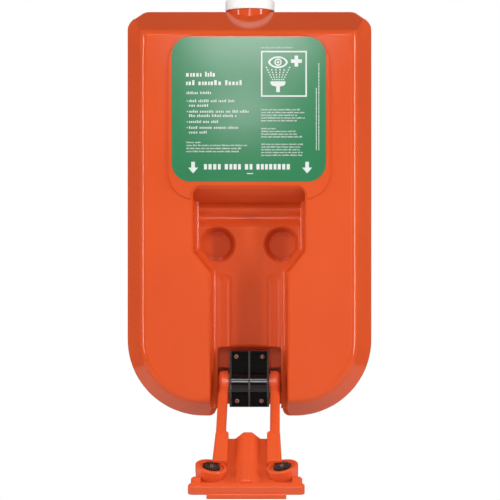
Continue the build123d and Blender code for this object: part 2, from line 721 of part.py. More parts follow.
with BuildPart() as pivot_clamp:
    with BuildSketch(SEAT):
        with Locations((0, (SADDLE_UP - SADDLE_DOWN) / 2)):
            RectangleRounded(2 * CLAMP_HALF, SADDLE_UP + SADDLE_DOWN, CLAMP_CORNER_R)
    extrude(amount=CLAMP_T)
    with BuildSketch(PIVOT_SIDE):
        with BuildLine():
            ThreePointArc((0, CLAMP_R), (-CLAMP_R, 0), (0, -CLAMP_R))
            Line((0, -CLAMP_R), (0, CLAMP_R))
        make_face()
    extrude(amount=CLAMP_HALF, both=True)
    add(ribs)
    with BuildSketch(PIVOT_SIDE):
        Circle(BARREL_R + RUNNING_GAP)
    extrude(amount=CLAMP_HALF, both=True, mode=Mode.SUBTRACT)
    with BuildSketch(SEAT):
        with Locations(*screw_points):
            Circle(SCREW_HOLE_R)
    extrude(amount=CLAMP_T + RIB_OUT, mode=Mode.SUBTRACT)
pivot_clamp.part.label = "pivot_clamp"
export_step(pivot_clamp.part, "parts/pivot_clamp.step")

with BuildPart() as threaded_inserts:
    with BuildSketch(SEAT):
        with Locations(*screw_points):
            Circle(INSERT_R)
        with Locations(*screw_points):
            Circle(SCREW_R, mode=Mode.SUBTRACT)
    extrude(amount=-INSERT_L)
threaded_inserts.part.label = "threaded_inserts"
export_step(threaded_inserts.part, "parts/threaded_inserts.step")

with BuildPart() as clamp_screws:
    with BuildSketch(SEAT.offset(CLAMP_T)):
        with Locations(*screw_points):
            Circle(SCREW_R)
    extrude(amount=-SCREW_L)
    with BuildSketch(SEAT.offset(CLAMP_T)):
        with Locations(*screw_points):
            Circle(SCREW_HEAD_R)
    extrude(amount=SCREW_HEAD_H)
    fillet(clamp_screws.faces().group_by(Axis.Y)[0].edges(), SCREW_DOME_R)
    with BuildSketch(SEAT.offset(CLAMP_T + SCREW_HEAD_H)):
        with Locations(*screw_points):
            Rectangle(SCREW_HEAD_R, DRIVE_W)
            Rectangle(DRIVE_W, SCREW_HEAD_R)
    extrude(amount=-DRIVE_DEPTH, mode=Mode.SUBTRACT)
clamp_screws.part.label = "clamp_screws"
export_step(clamp_screws.part, "parts/clamp_screws.step")

# ---- valve barrel that turns in the seat, with its two rings ----
with BuildPart() as valve_barrel:
    with BuildSketch(PIVOT_SIDE):
        Circle(BARREL_R)
        Circle(BARREL_BORE_R, mode=Mode.SUBTRACT)
    extrude(amount=BARREL_END, both=True)
    for ring_x in (-RING_X, RING_X):
        with BuildSketch(PIVOT_SIDE.offset(ring_x)):
            Circle(BARREL_R)
            Circle(BARREL_R - 2 * RING_R, mode=Mode.SUBTRACT)
        extrude(amount=RING_GROOVE, both=True, mode=Mode.SUBTRACT)
    with BuildSketch(SEAT):
        Circle(PORT_R)
    extrude(amount=-2 * BARREL_R, mode=Mode.SUBTRACT)
valve_barrel.part.label = "valve_barrel"
export_step(valve_barrel.part, "parts/valve_barrel.step")

with BuildPart() as barrel_rings:
    for ring_x in (-RING_X, RING_X):
        with Locations(PIVOT_SIDE.offset(ring_x).location):
            Torus(BARREL_R - RING_R, RING_R)
barrel_rings.part.label = "barrel_rings"
export_step(barrel_rings.part, "parts/barrel_rings.step")

# ---- full outside of the swing arm, before it is split into its two mouldings ----
nozzle_planes = []
for side in (1, -1):
    nozzle_axis = (
        ARM.z_dir
        - ARM.y_dir * math.tan(math.radians(NOZZLE_BACK))
        + ARM.x_dir * side * math.tan(math.radians(NOZZLE_IN))
    )
    nozzle_point = ARM.from_local_coords((-side * NOZZLE_X, NOZZLE_U, NOZZLE_W))
    nozzle_planes.append(Plane(origin=nozzle_point, x_dir=(1, 0, 0), z_dir=nozzle_axis))

with BuildPart() as bars:
    for side in (1, -1):
        with BuildSketch(ARM_ACROSS):
            with Locations((side * (BAR_IN + BAR_OUT) / 2, 0)):
                Rectangle(BAR_OUT - BAR_IN, 2 * BAR_HALF_T)
        extrude(amount=BAR_END)
    fillet(bars.edges().filter_by(ALONG_U).sort_by(UP_W)[-4:], BAR_FILLET)
    fillet(bars.edges().filter_by(ALONG_U).sort_by(UP_W)[:4], ARM_STEP)

with BuildPart() as shanks:
    for side in (1, -1):
        with BuildSketch(ARM.offset(ARM_BACK)):
            with BuildLine():
                Polyline(
                    (side * SHANK_IN, SHANK_START),
                    (side * SHANK_OUT, SHANK_START),
                    (side * (SHANK_OUT + SHANK_SPREAD), SHANK_END),
                    (side * SHANK_IN, SHANK_END),
                    close=True,
                )
            make_face()
        extrude(amount=BAR_HALF_T - ARM_BACK)
    with BuildSketch(ARM_SIDE):
        with BuildLine():
            Polyline(
                (SHANK_START, BAR_HALF_T),
                (SHANK_END, SHANK_TOP),
                (SHANK_END, 2 * BAR_HALF_T),
                (SHANK_START, 2 * BAR_HALF_T),
                close=True,
            )
        make_face()
    extrude(amount=2 * SHANK_OUT, both=True, mode=Mode.SUBTRACT)
    shank_tops = shanks.faces().sort_by(UP_W)[-2:]
    fillet(shank_tops.edges().filter_by(Axis.X, reverse=True), SHANK_FILLET)

pods = []
for side, nozzle in zip((1, -1), nozzle_planes):
    with BuildPart() as pod:
        with BuildSketch(ARM.offset(ARM_BACK - OVERRUN)):
            with Locations((-side * NOZZLE_X, NOZZLE_U)):
                Circle(POD_R)
        extrude(amount=POD_ROOT + OVERRUN)
        split(bisect_by=nozzle.offset(POD_TOP), keep=Keep.BOTTOM)
        fillet(pod.edges().sort_by(Axis(nozzle.origin, nozzle.z_dir))[-1:], POD_LIP_R)
    pods.append(pod.part)

with BuildPart() as arm_outside:
    for side in (1, -1):
        with BuildSketch(PIVOT_SIDE.offset(side * (BAR_IN + BAR_OUT) / 2)):
            Circle(HUB_R)
        extrude(amount=(BAR_OUT - BAR_IN) / 2, both=True)
    fillet(arm_outside.edges().group_by(Axis.X)[0] + arm_outside.edges().group_by(Axis.X)[-1], HUB_FILLET)
    for side in (1, -1):
        with BuildSketch(PIVOT_SIDE.offset(side * (BAR_IN + BAR_OUT) / 2)):
            with BuildLine():
                Polyline((0, 0), (HEEL_Y, 0), (HEEL_Y, -HEEL_Z), (0, -HUB_R), close=True)
            make_face()
        extrude(amount=(BAR_OUT - BAR_IN) / 2, both=True)
    add(bars)
    add(shanks)
    with BuildSketch(ARM_ACROSS.offset(WEB_START)):
        with BuildLine():
            Polyline(
                (-WEB_HALF, ARM_BACK),
                (WEB_HALF, ARM_BACK),
                (WEB_HALF, WEB_TOP),
                (RIDGE_FOOT, WEB_TOP),
                (RIDGE_HALF, RIDGE_TOP),
                (-RIDGE_HALF, RIDGE_TOP),
                (-RIDGE_FOOT, WEB_TOP),
                (-WEB_HALF, WEB_TOP),
                close=True,
            )
        make_face()
    extrude(amount=TIP_FRONT - WEB_START + TIP_LAP)
    with BuildSketch(ARM_ACROSS.offset(TIP_START)) as tip_plate:
        with BuildLine():
            Polyline(
                (-TIP_PLATE_HALF + TIP_EDGE, TIP_PLATE_TOP),
                (-TIP_EAR, TIP_PLATE_TOP),
                (-TIP_EAR, WEB_TOP),
                (TIP_EAR, WEB_TOP),
                (TIP_EAR, TIP_PLATE_TOP),
                (TIP_PLATE_HALF - TIP_EDGE, TIP_PLATE_TOP),
                (TIP_PLATE_HALF, TIP_PLATE_TOP - TIP_EDGE),
                (TIP_PLATE_HALF, TIP_BOTTOM + TIP_EDGE),
                (TIP_PLATE_HALF - TIP_EDGE, TIP_BOTTOM),
                (-TIP_PLATE_HALF + TIP_EDGE, TIP_BOTTOM),
                (-TIP_PLATE_HALF, TIP_BOTTOM + TIP_EDGE),
                (-TIP_PLATE_HALF, TIP_PLATE_TOP - TIP_EDGE),
                close=True,
            )
        make_face()
    extrude(amount=TIP_FRONT - TIP_START + TIP_LAP)
    with BuildSketch(ARM_ACROSS.offset(TIP_FRONT)):
        with BuildLine():
            Polyline(
                (-TIP_HALF + TIP_EDGE, TIP_TOP),
                (TIP_HALF - TIP_EDGE, TIP_TOP),
                (TIP_HALF, TIP_TOP - TIP_EDGE),
                (TIP_HALF, TIP_BOTTOM + TIP_CHAMFER),
                (TIP_HALF - TIP_CHAMFER, TIP_BOTTOM),
                (-TIP_HALF + TIP_CHAMFER, TIP_BOTTOM),
                (-TIP_HALF, TIP_BOTTOM + TIP_CHAMFER),
                (-TIP_HALF, TIP_TOP - TIP_EDGE),
                close=True,
            )
        make_face()
    extrude(amount=TIP_END - TIP_FRONT)
    front_edges = arm_outside.edges().filter_by_position(ALONG_U, TIP_END - NEAR, TIP_END + NEAR)
    chamfer(front_edges.filter_by(Axis.X).sort_by(UP_W)[:1], TIP_FRONT_CHAMFER)
    front_edges = arm_outside.edges().filter_by_position(ALONG_U, TIP_END - NEAR, TIP_END + NEAR)
    fillet(front_edges.filter_by(Axis.X).sort_by(UP_W)[-1:], TIP_FILLET)
    ridge_edges = arm_outside.edges().filter_by_position(UP_W, RIDGE_TOP - NEAR, RIDGE_TOP + NEAR)
    fillet(ridge_edges.filter_by_position(Axis.X, -RIDGE_FOOT, RIDGE_FOOT), RIDGE_FILLET)
    web_edges = arm_outside.edges().filter_by_position(UP_W, WEB_TOP - NEAR, WEB_TOP + NEAR)
    foot_edges = web_edges.filter_by(ALONG_U)
    fillet(foot_edges.filter_by(lambda e: abs(abs(e.center().X) - RIDGE_FOOT) < NEAR), RIDGE_FOOT_FILLET)
    with BuildSketch(ARM_SIDE):
        with BuildLine():
            Polyline(
                (LIP_START, LIP_ROOT),
                (TIP_END, LIP_ROOT),
                (TIP_END, LIP_TOP),
                (LIP_END, LIP_TOP),
                (LIP_END, LIP_BOTTOM),
                (LIP_START, LIP_BOTTOM),
                close=True,
            )
        make_face()
    extrude(amount=LIP_HALF, both=True)
    fillet(arm_outside.edges().filter_by_position(ALONG_U, LIP_END - NEAR, LIP_END + NEAR), LIP_R)
    for nozzle, pod_part in zip(nozzle_planes, pods):
        add(pod_part)
        with BuildSketch(nozzle.offset(POD_TOP)):
            Circle(SEAT_R)
        extrude(amount=-SEAT_DEPTH, mode=Mode.SUBTRACT)
    with BuildSketch(ARM_SIDE):
        with BuildLine():
            Polyline(
                (SEAM_U + SEAM_RUN, ARM_BACK),
                (LIP_START, ARM_BACK),
                (LIP_START, -ARM_REACH),
                (SEAM_U + SEAM_RUN, -ARM_REACH),
                close=True,
            )
        make_face()
    extrude(amount=TIP_HALF + OVERRUN, both=True, mode=Mode.SUBTRACT)

# ---- water ways inside the arm, with the barrel's seat ----
with BuildPart() as arm_inside:
    with BuildSketch(PIVOT_SIDE):
        Circle(BARREL_R)
    extrude(amount=BARREL_END, both=True)
    with BuildSketch(PIVOT_SIDE):
        Circle(BARREL_BORE_R)
    extrude(amount=CHAMBER_END, both=True)
    for side in (1, -1):
        with BuildSketch(ARM_ACROSS):
            with Locations((side * (CHANNEL_IN + CHAMBER_END) / 2, (CHANNEL_TOP + CHANNEL_BOTTOM) / 2)):
                Rectangle(CHAMBER_END - CHANNEL_IN, CHANNEL_TOP - CHANNEL_BOTTOM)
        extrude(amount=CHANNEL_END)
    for nozzle in nozzle_planes:
        with BuildSketch(nozzle.offset(POD_TOP - SEAT_DEPTH)):
            Circle(HEAD_BORE_R)
        extrude(amount=-HEAD_DEPTH)
        with BuildSketch(nozzle.offset(POD_TOP - SEAT_DEPTH - HEAD_DEPTH)):
            Circle(HEAD_INFLOW_R)
        extrude(amount=-HEAD_DEPTH)
    with BuildSketch(ARM_SIDE):
        with BuildLine():
            Polyline(
                (CHANNEL_FLOOR_START, SEAM_W),
                (LIP_END, SEAM_W),
                (LIP_END, -ARM_REACH),
                (CHANNEL_FLOOR_START, -ARM_REACH),
                close=True,
            )
        make_face()
    extrude(amount=TIP_HALF, both=True, mode=Mode.SUBTRACT)

with BuildPart() as spray_side:
    with BuildSketch(ARM_SIDE):
        with BuildLine():
            Polyline(
                (-ARM_REACH, 0),
                (SEAM_U, 0),
                (SEAM_U + SEAM_RUN, SEAM_W),
                (LIP_END + OVERRUN, SEAM_W),
                (LIP_END + OVERRUN, ARM_REACH),
                (-ARM_REACH, ARM_REACH),
                close=True,
            )
        make_face()
    extrude(amount=TIP_HALF + OVERRUN, both=True)

# ---- the arm's two mouldings, joined along the seam ----
with BuildPart() as arm_frame:
    add(arm_outside)
    add(arm_inside, mode=Mode.SUBTRACT)
    add(spray_side, mode=Mode.INTERSECT)
arm_frame.part.label = "arm_frame"
export_step(arm_frame.part, "parts/arm_frame.step")

with BuildPart() as arm_cover:
    add(arm_outside)
    add(arm_inside, mode=Mode.SUBTRACT)
    add(spray_side, mode=Mode.SUBTRACT)
arm_cover.part.label = "arm_cover"
export_step(arm_cover.part, "parts/arm_cover.step")

# ---- spray heads, left and right as seen from the front ----
for name, nozzle in zip(("right", "left"), nozzle_planes):
    with BuildPart() as spray_body:
        with BuildSketch(nozzle.offset(POD_TOP - SEAT_DEPTH)):
            Circle(HEAD_R)
        extrude(amount=-HEAD_DEPTH)
        with BuildSketch(nozzle.offset(POD_TOP - SEAT_DEPTH)):
            Circle(HEAD_CUP_R)
            Circle(HEAD_POST_R, mode=Mode.SUBTRACT)
        extrude(amount=-HEAD_DEPTH + HEAD_FLOOR, mode=Mode.SUBTRACT)
        with BuildSketch(nozzle.offset(POD_TOP - SEAT_DEPTH)):
            with PolarLocations(HEAD_INLET_PCD_R, HEAD_INLET_COUNT):
                Circle(HEAD_INLET_R)
            Circle(HEAD_SCREW_R)
        extrude(amount=-HEAD_DEPTH, mode=Mode.SUBTRACT)
        with BuildSketch(nozzle.offset(HEAD_RING_N)):
            Circle(HEAD_R)
            Circle(HEAD_BORE_R - 2 * HEAD_RING_R, mode=Mode.SUBTRACT)
        extrude(amount=HEAD_RING_GROOVE, both=True, mode=Mode.SUBTRACT)
    spray_body.part.label = f"spray_body_{name}"
    export_step(spray_body.part, f"parts/spray_body_{name}.step")

    with BuildPart() as spray_plate:
        with BuildSketch(nozzle.offset(POD_TOP - SEAT_DEPTH)):
            Circle(PLATE_DISC_R)
            with PolarLocations(PLATE_DISC_R, SCALLOP_COUNT):
                Circle(SCALLOP_R, mode=Mode.SUBTRACT)
            with PolarLocations(SPRAY_HOLE_PCD_R, SCALLOP_COUNT):
                Circle(SPRAY_HOLE_R, mode=Mode.SUBTRACT)
            Circle(HEAD_SCREW_R, mode=Mode.SUBTRACT)
        extrude(amount=PLATE_DISC_T)
    spray_plate.part.label = f"spray_plate_{name}"
    export_step(spray_plate.part, f"parts/spray_plate_{name}.step")

    with BuildPart() as flow_disc:
        with BuildSketch(nozzle.offset(HEAD_DISC_N)):
            Circle(DISC_R)
            Circle(DISC_BORE_R, mode=Mode.SUBTRACT)
            with PolarLocations(HEAD_INLET_PCD_R, FLOW_HOLE_COUNT, start_angle=FLOW_HOLE_TURN):
                Circle(FLOW_HOLE_R, mode=Mode.SUBTRACT)
        extrude(amount=FLOW_DISC_T)
    flow_disc.part.label = f"flow_disc_{name}"
    export_step(flow_disc.part, f"parts/flow_disc_{name}.step")

    with BuildPart() as strainer:
        with BuildSketch(nozzle.offset(HEAD_DISC_N + FLOW_DISC_T + SCREEN_GAP)):
            Circle(DISC_R)
            Circle(DISC_BORE_R, mode=Mode.SUBTRACT)
            with PolarLocations(SCREEN_INNER_PCD_R, SCREEN_INNER_COUNT):
                Circle(SCREEN_HOLE_R, mode=Mode.SUBTRACT)
            with PolarLocations(SCREEN_OUTER_PCD_R, SCREEN_OUTER_COUNT):
                Circle(SCREEN_HOLE_R, mode=Mode.SUBTRACT)
        extrude(amount=SCREEN_T)
    strainer.part.label = f"strainer_{name}"
    export_step(strainer.part, f"parts/strainer_{name}.step")

with BuildPart() as head_rings:
    for nozzle in nozzle_planes:
        with Locations(nozzle.offset(HEAD_RING_N).location):
            Torus(HEAD_BORE_R - HEAD_RING_R, HEAD_RING_R)
head_rings.part.label = "head_rings"
export_step(head_rings.part, "parts/head_rings.step")

with BuildPart() as plate_screws:
    for nozzle in nozzle_planes:
        with BuildSketch(nozzle.offset(POD_TOP - SEAT_DEPTH + PLATE_DISC_T)):
            Circle(HEAD_SCREW_R)
        extrude(amount=-HEAD_SCREW_L)
        with BuildSketch(nozzle.offset(POD_TOP - SEAT_DEPTH + PLATE_DISC_T)):
            Circle(HEAD_SCREW_CAP_R)
        extrude(amount=HEAD_SCREW_CAP_H)
plate_screws.part.label = "plate_screws"
export_step(plate_screws.part, "parts/plate_screws.step")
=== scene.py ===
import json
import math
import random

import bmesh
import bpy
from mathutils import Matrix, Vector


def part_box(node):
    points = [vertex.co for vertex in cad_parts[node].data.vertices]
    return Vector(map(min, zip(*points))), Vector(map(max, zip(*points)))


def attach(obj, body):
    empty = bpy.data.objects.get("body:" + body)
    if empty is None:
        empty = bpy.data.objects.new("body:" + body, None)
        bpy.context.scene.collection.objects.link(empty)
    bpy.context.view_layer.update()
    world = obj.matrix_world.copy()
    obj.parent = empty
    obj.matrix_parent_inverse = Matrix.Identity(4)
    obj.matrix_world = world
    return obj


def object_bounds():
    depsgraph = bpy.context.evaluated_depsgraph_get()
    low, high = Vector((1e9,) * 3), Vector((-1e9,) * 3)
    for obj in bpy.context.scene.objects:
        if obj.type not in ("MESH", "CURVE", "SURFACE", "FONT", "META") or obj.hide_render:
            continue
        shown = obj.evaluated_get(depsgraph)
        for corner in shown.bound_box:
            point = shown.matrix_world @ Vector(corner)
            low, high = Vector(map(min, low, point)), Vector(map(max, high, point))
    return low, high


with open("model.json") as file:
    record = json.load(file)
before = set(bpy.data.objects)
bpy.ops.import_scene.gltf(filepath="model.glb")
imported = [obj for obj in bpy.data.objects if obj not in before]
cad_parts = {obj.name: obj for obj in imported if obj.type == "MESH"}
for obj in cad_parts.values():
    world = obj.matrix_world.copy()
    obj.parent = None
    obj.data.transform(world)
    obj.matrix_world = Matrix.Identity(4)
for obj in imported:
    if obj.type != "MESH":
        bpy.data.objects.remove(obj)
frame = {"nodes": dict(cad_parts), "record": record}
cad_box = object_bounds()
scene = bpy.context.scene


# ---------------------------------------------------------------- material helpers
def new_material(name):
    mat = bpy.data.materials.new(name)
    mat.use_nodes = True
    nodes = mat.node_tree.nodes
    shader = nodes["Principled BSDF"]
    return mat, nodes, mat.node_tree.links, shader


def noise(nodes, links, scale, detail=3.0, rough=0.5, stretch=(1, 1, 1)):
    coords = nodes.new("ShaderNodeTexCoord")
    mapping = nodes.new("ShaderNodeMapping")
    mapping.inputs["Scale"].default_value = stretch
    tex = nodes.new("ShaderNodeTexNoise")
    tex.inputs["Scale"].default_value = scale
    tex.inputs["Detail"].default_value = detail
    tex.inputs["Roughness"].default_value = rough
    links.new(coords.outputs["Object"], mapping.inputs["Vector"])
    links.new(mapping.outputs["Vector"], tex.inputs["Vector"])
    return tex.outputs["Fac"]


def spread(nodes, links, value, low, high, lo_in=0.3, hi_in=0.7):
    """Maps a value between lo_in and hi_in to the range from low to high."""
    node = nodes.new("ShaderNodeMapRange")
    node.inputs["From Min"].default_value = lo_in
    node.inputs["From Max"].default_value = hi_in
    node.inputs["To Min"].default_value = low
    node.inputs["To Max"].default_value = high
    links.new(value, node.inputs["Value"])
    return node.outputs["Result"]


def mix_colour(nodes, links, factor, first, second):
    node = nodes.new("ShaderNodeMix")
    node.data_type = "RGBA"
    for socket, value in (("A", first), ("B", second)):
        target = [s for s in node.inputs if s.name == socket and s.type == "RGBA"][0]
        if hasattr(value, "links"):
            links.new(value, target)
        else:
            target.default_value = (*value, 1)
    links.new(factor, node.inputs["Factor"])
    return [s for s in node.outputs if s.type == "RGBA"][0]


def bump(nodes, links, shader, heights):
    """heights is a list of (value, strength, distance), chained into the shader's normal."""
    last = None
    for value, strength, distance in heights:
        node = nodes.new("ShaderNodeBump")
        node.inputs["Strength"].default_value = strength
        node.inputs["Distance"].default_value = distance
        links.new(value, node.inputs["Height"])
        if last:
            links.new(last, node.inputs["Normal"])
        last = node.outputs["Normal"]
    links.new(last, shader.inputs["Normal"])


def moulded(name, base, dark, pale, rough, grain=700.0, grain_depth=0.00006, streaks=0.35, specular=0.5):
    """Moulded plastic: fine orange peel, slow colour drift, faint flow lines, scuffs that dull the gloss."""
    mat, nodes, links, shader = new_material(name)
    drift = noise(nodes, links, 5.0, 2.0)
    flow = noise(nodes, links, 38.0, 4.0, 0.6, (1, 1, 0.06))
    scuff = noise(nodes, links, 60.0, 8.0, 0.75)
    body = mix_colour(nodes, links, spread(nodes, links, drift, 0.0, 1.0), base, dark)
    flow_amount = spread(nodes, links, flow, 0.0, streaks, 0.45, 0.75)
    lined = mix_colour(nodes, links, flow_amount, body, dark)
    worn = mix_colour(nodes, links, spread(nodes, links, scuff, 0.0, 0.10, 0.62, 0.75), lined, pale)
    links.new(worn, shader.inputs["Base Color"])
    links.new(spread(nodes, links, scuff, rough[0], rough[1]), shader.inputs["Roughness"])
    shader.inputs["Specular IOR Level"].default_value = specular
    peel = noise(nodes, links, grain, 2.0)
    wave = noise(nodes, links, 9.0, 1.0)
    bump(nodes, links, shader, [(wave, 0.12, 0.0015), (peel, 0.35, grain_depth)])
    return mat


# Ranges of the object's X over which the painted rib highlight fades in.
MIDDLE_RIB_EDGE = (0.0014, 0.0018)
SIDE_RIB_EDGE = (0.0286, 0.0292)


def painted_rib_highlights(mat, pale):
    """Paints the clamp's standing ribs, one at each side and one in the middle, paler than the plate, broken
    up by noise: a painted highlight where the rib tops catch the light.
    """
    nodes, links = mat.node_tree.nodes, mat.node_tree.links
    shader = nodes["Principled BSDF"]
    place = nodes.new("ShaderNodeTexCoord")
    split_place = nodes.new("ShaderNodeSeparateXYZ")
    links.new(place.outputs["Object"], split_place.inputs["Vector"])
    from_middle = nodes.new("ShaderNodeMath")
    from_middle.operation = "ABSOLUTE"
    links.new(split_place.outputs["X"], from_middle.inputs[0])
    middle = spread(nodes, links, from_middle.outputs["Value"], 1.0, 0.0, *MIDDLE_RIB_EDGE)
    border = spread(nodes, links, from_middle.outputs["Value"], 0.0, 1.0, *SIDE_RIB_EDGE)
    either = nodes.new("ShaderNodeMath")
    either.operation = "MAXIMUM"
    links.new(middle, either.inputs[0])
    links.new(border, either.inputs[1])
    # painted highlight on the ribs, broken up by noise
    rib_highlight = nodes.new("ShaderNodeMath")
    rib_highlight.operation = "MULTIPLY"
    links.new(either.outputs["Value"], rib_highlight.inputs[0])
    links.new(spread(nodes, links, noise(nodes, links, 220.0, 4.0, 0.6), 0.55, 1.0), rib_highlight.inputs[1])
    under = shader.inputs["Base Color"].links[0].from_socket
    links.new(mix_colour(nodes, links, rib_highlight.outputs["Value"], under, pale), shader.inputs["Base Color"])


def metal(name, base, dark, brushed=(1, 1, 1)):
    """Bare metal with a fine grain and slight tarnish."""
    mat, nodes, links, shader = new_material(name)
    shader.inputs["Metallic"].default_value = 1.0
    grain = noise(nodes, links, 400.0, 4.0, 0.6, brushed)
    tarnish = noise(nodes, links, 90.0, 5.0, 0.6)
    tarnished = mix_colour(nodes, links, spread(nodes, links, tarnish, 0.0, 1.0), base, dark)
    links.new(tarnished, shader.inputs["Base Color"])
    links.new(spread(nodes, links, grain, 0.22, 0.38), shader.inputs["Roughness"])
    bump(nodes, links, shader, [(grain, 0.25, 0.00004)])
    return mat


def rubber(name, base, dusty):
    """Matt rubber or felt with a fine grain and a little dust."""
    mat, nodes, links, shader = new_material(name)
    dust = noise(nodes, links, 120.0, 6.0, 0.7)
    dusted = mix_colour(nodes, links, spread(nodes, links, dust, 0.0, 0.6), base, dusty)
    links.new(dusted, shader.inputs["Base Color"])
    links.new(spread(nodes, links, dust, 0.55, 0.8), shader.inputs["Roughness"])
    bump(nodes, links, shader, [(noise(nodes, links, 1500.0, 2.0), 0.4, 0.00005)])
    return mat


def printed(name, base, dark, rough):
    """Printed film: even ink with a very fine grain and slight waves where it was smoothed down."""
    mat, nodes, links, shader = new_material(name)
    patches = noise(nodes, links, 16.0, 3.0)
    inked = mix_colour(nodes, links, spread(nodes, links, patches, 0.0, 0.6), base, dark)
    links.new(inked, shader.inputs["Base Color"])
    fine = noise(nodes, links, 1400.0, 2.0)
    links.new(spread(nodes, links, fine, rough[0], rough[1]), shader.inputs["Roughness"])
    wave = noise(nodes, links, 24.0, 2.0)
    bump(nodes, links, shader, [(wave, 0.15, 0.0004), (fine, 0.2, 0.00003)])
    return mat


ORANGE = (0.605, 0.0765, 0.0165)
ORANGE_DARK = (0.560, 0.0668, 0.0146)
ORANGE_PALE = (0.80, 0.15, 0.06)
ARM_ORANGE = (0.70, 0.092, 0.024)
ARM_ORANGE_DARK = (0.64, 0.078, 0.020)
tank_orange = moulded("tank_orange", ORANGE, ORANGE_DARK, ORANGE_PALE, (0.09, 0.15), specular=0.28)
arm_orange = moulded(
    "arm_orange", ARM_ORANGE, ARM_ORANGE_DARK, ORANGE_PALE, (0.15, 0.23), streaks=0.15, specular=0.40
)
label_green = printed("label_green", (0.022, 0.175, 0.070), (0.019, 0.155, 0.062), (0.12, 0.17))
label_white = printed("label_white", (0.60, 0.63, 0.61), (0.54, 0.58, 0.55), (0.3, 0.4))
cap_grey = moulded(
    "cap_grey", (0.77, 0.81, 0.80), (0.69, 0.73, 0.72), (0.82, 0.84, 0.83), (0.38, 0.5), streaks=0.1
)
clamp_black = moulded(
    "clamp_black", (0.006, 0.0045, 0.0045), (0.004, 0.003, 0.003), (0.05, 0.05, 0.05), (0.07, 0.13),
    streaks=0.1,
)
# painted highlight on the clamp's ribs, in a paler black
painted_rib_highlights(clamp_black, (0.055, 0.045, 0.043))
spray_black = moulded(
    "spray_black", (0.014, 0.012, 0.011), (0.009, 0.008, 0.007), (0.06, 0.06, 0.06), (0.12, 0.20), streaks=0.1
)
rubber_black = rubber("rubber_black", (0.012, 0.012, 0.012), (0.035, 0.034, 0.032))
screw_copper = metal("screw_copper", (0.62, 0.33, 0.24), (0.42, 0.20, 0.14))
insert_brass = metal("insert_brass", (0.62, 0.44, 0.16), (0.48, 0.32, 0.11))
strainer_steel = metal("strainer_steel", (0.60, 0.60, 0.59), (0.48, 0.48, 0.47), brushed=(1, 1, 8))
# the bracket's coating reuses the moulded surface with a coarser grain
bracket_steel = moulded(
    "bracket_steel", (0.27, 0.28, 0.29), (0.22, 0.23, 0.24), (0.42, 0.42, 0.42), (0.42, 0.6),
    grain=1600.0, grain_depth=0.0001, streaks=0.1,
)
filter_white = rubber("filter_white", (0.70, 0.69, 0.65), (0.60, 0.59, 0.55))

FINISHES = {
    "tank_orange": tank_orange,
    "arm_orange": arm_orange,
    "label_print": label_green,
    "cap_grey": cap_grey,
    "clamp_black": clamp_black,
    "spray_black": spray_black,
    "rubber_black": rubber_black,
    "screw_copper": screw_copper,
    "insert_brass": insert_brass,
    "bracket_steel": bracket_steel,
    "strainer_steel": strainer_steel,
    "filter_white": filter_white,
}
slot_of = {part["node"]: part["material_slot"] for part in frame["record"]["subparts"]}
for node, obj in frame["nodes"].items():
    obj.data.materials.clear()
    obj.data.materials.append(FINISHES[slot_of[node]])


# ---------------------------------------------------------------- mesh helpers
def make_object(name, mesh_builder, material):
    mesh = bpy.data.meshes.new(name)
    bm = bmesh.new()
    mesh_builder(bm)
    bmesh.ops.recalc_face_normals(bm, faces=bm.faces)
    bm.to_mesh(mesh)
    bm.free()
    obj = bpy.data.objects.new(name, mesh)
    scene.collection.objects.link(obj)
    obj.data.materials.append(material)
    return obj


def slab(bm, outline, back, front):
    """A flat solid with this (x, z) outline between two depths."""
    loops = []
    for y in (back, front):
        loops.append([bm.verts.new((x, y, z)) for x, z in outline])
    count = len(outline)
    bm.faces.new(loops[0])
    bm.faces.new(loops[1])
    for i in range(count):
        j = (i + 1) % count
        bm.faces.new((loops[0][i], loops[0][j], loops[1][j], loops[1][i]))


def ring_slab(bm, outer, inner, back, front):
    """A flat frame between two outlines with the same number of points."""
    rows = []
    for outline in (outer, inner):
        for y in (back, front):
            rows.append([bm.verts.new((x, y, z)) for x, z in outline])
    outer_back, outer_front, inner_back, inner_front = rows
    count = len(outer)
    for i in range(count):
        j = (i + 1) % count
        bm.faces.new((outer_back[i], outer_back[j], outer_front[j], outer_front[i]))
        bm.faces.new((inner_back[i], inner_front[i], inner_front[j], inner_back[j]))
        bm.faces.new((outer_front[i], outer_front[j], inner_front[j], inner_front[i]))
        bm.faces.new((outer_back[i], inner_back[i], inner_back[j], outer_back[j]))


def rectangle(x0, x1, z0, z1):
    return [(x0, z0), (x1, z0), (x1, z1), (x0, z1)]


def disc(cx, cz, rx, rz, count=20):
    turns = [2 * math.pi * i / count for i in range(count)]
    return [(cx + rx * math.cos(t), cz + rz * math.sin(t)) for t in turns]


# ---------------------------------------------------------------- label print
low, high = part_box("label_panel")
label_x = (low[0] + high[0]) / 2
label_z = (low[2] + high[2]) / 2
label_front = low[1]
PRINT_T = 0.00008
LETTER_SPACE = 0.9
SPACE_WIDTH = 0.6
TITLE_HEIGHT = 8.0
LINE_HEIGHT = 4.4
SMALL_HEIGHT = 2.6
NOTE_HEIGHT = 2.4
NOTE_PITCH = 4.4
SPRAY_ROWS = 6
SPRAY_COLUMNS = 6
LEFT_MARGIN = -100.8
TEXT_LEFT = -100.0
BULLET_TEXT_LEFT = -96.0
NOTES_LEFT = 20.0
# (foot, right end, whether the line starts with a dot) of each line in the list
BULLET_LINES = (
    (11.2, -22, True), (3.9, -61, False), (-5.7, 2, True), (-12.6, -16, False),
    (-22.2, -43, True), (-31.6, -13, True), (-39.2, -66, False),
)
ARROW_STEM = 2.9
ARROW_HALF = 8.0
ARROW_TOP = -84.6
ARROW_NECK = -94.0
ARROW_TIP = -103.2


def at(points):
    """Millimetres from the label's centre to metres in the frame."""
    return [(label_x + x / 1000, label_z + z / 1000) for x, z in points]


def ink(bm, points):
    slab(bm, at(points), label_front, label_front - PRINT_T)


